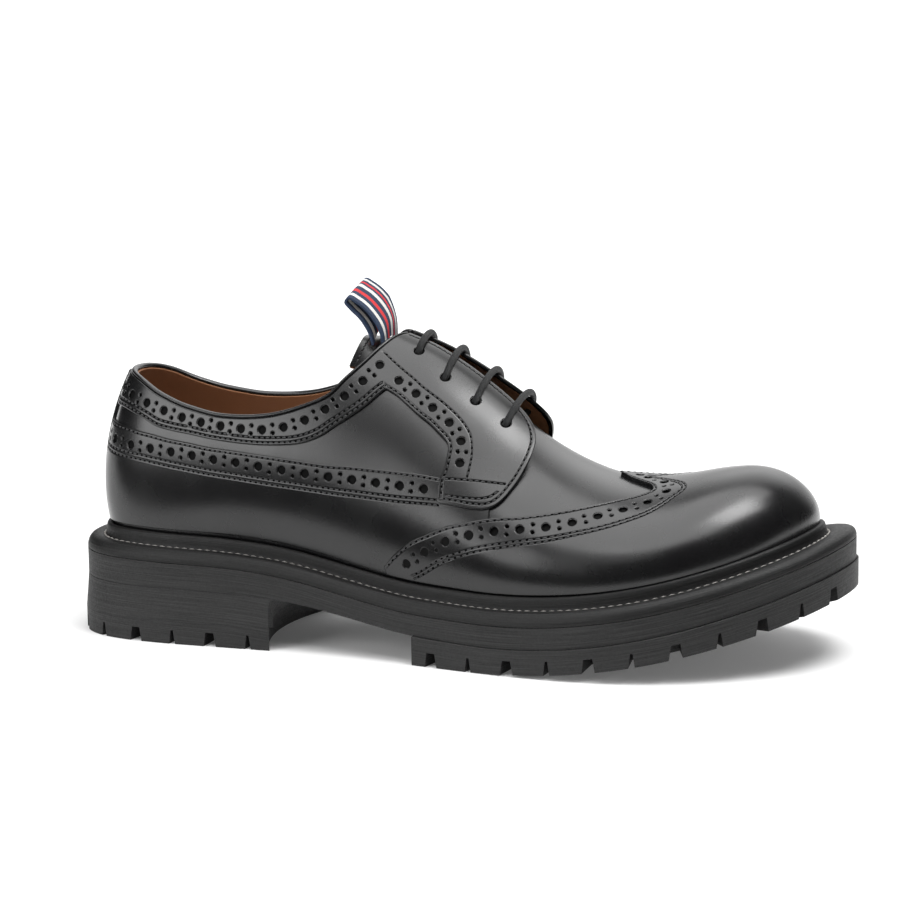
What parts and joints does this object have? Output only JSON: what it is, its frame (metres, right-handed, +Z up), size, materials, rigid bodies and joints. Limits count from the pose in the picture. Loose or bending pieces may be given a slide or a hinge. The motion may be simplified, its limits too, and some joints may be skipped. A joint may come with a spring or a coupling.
{
  "type": "brogue derby shoe",
  "caption": "Right-foot leather brogue derby on a lugged rubber sole, with wing tip, punched bands, open lacing and a tape loop on the tongue.",
  "frame": {"origin": "middle of the shoe's box on the floor", "axes": "+X to the toe, +Y to the inner (medial) side, +Z up"},
  "size_m": [0.312, 0.1142, 0.1404],
  "materials": {
    "black_leather": "smooth polished black calf",
    "black_rubber": "matt moulded rubber with a brushed side",
    "tan_lining": "plain tan lining leather",
    "charcoal_cord": "round waxed cord",
    "navy_tape": "woven tape with pin lines"
  },
  "bodies": {
    "root": {"upper": "black_leather", "foxing": "black_leather", "wing_cap": "black_leather", "collar_band": "black_leather", "facing_lateral": "black_leather", "facing_medial": "black_leather", "back_strip": "black_leather", "tongue": "black_leather", "heel_block": "black_rubber", "heel_lift": "black_rubber", "outsole": "black_rubber", "midsole": "black_rubber", "welt": "black_rubber", "lace_bar_1": "charcoal_cord", "lace_bar_2": "charcoal_cord", "lace_bar_3": "charcoal_cord", "lace_bar_4": "charcoal_cord", "insole": "tan_lining", "pull_loop": "navy_tape"}
  },
  "joints": []
}
